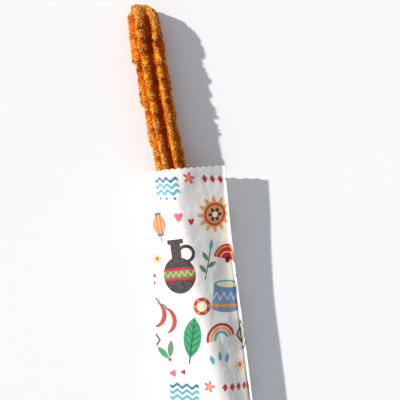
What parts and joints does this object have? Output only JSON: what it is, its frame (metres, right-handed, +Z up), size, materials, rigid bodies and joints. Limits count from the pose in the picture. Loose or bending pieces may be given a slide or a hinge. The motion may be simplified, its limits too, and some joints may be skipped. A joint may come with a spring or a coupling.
{
  "type": "churro",
  "caption": "Long ridged fried-dough churro lying part way out of a slim open paper bag that keeps it clean and gives a hold.",
  "frame": {"origin": "middle of the footprint of bag and churro together, at the height of the table they lie on", "axes": "+Z up from the table, +Y from the bag's closed end to the churro's free tip, +X to the right seen from above with the tip away"},
  "size_m": [0.0894, 0.427, 0.0371],
  "materials": {
    "crust": "matte",
    "paper": "matte"
  },
  "bodies": {
    "root": {"churro": "crust", "paper_bag": "paper"}
  },
  "joints": []
}
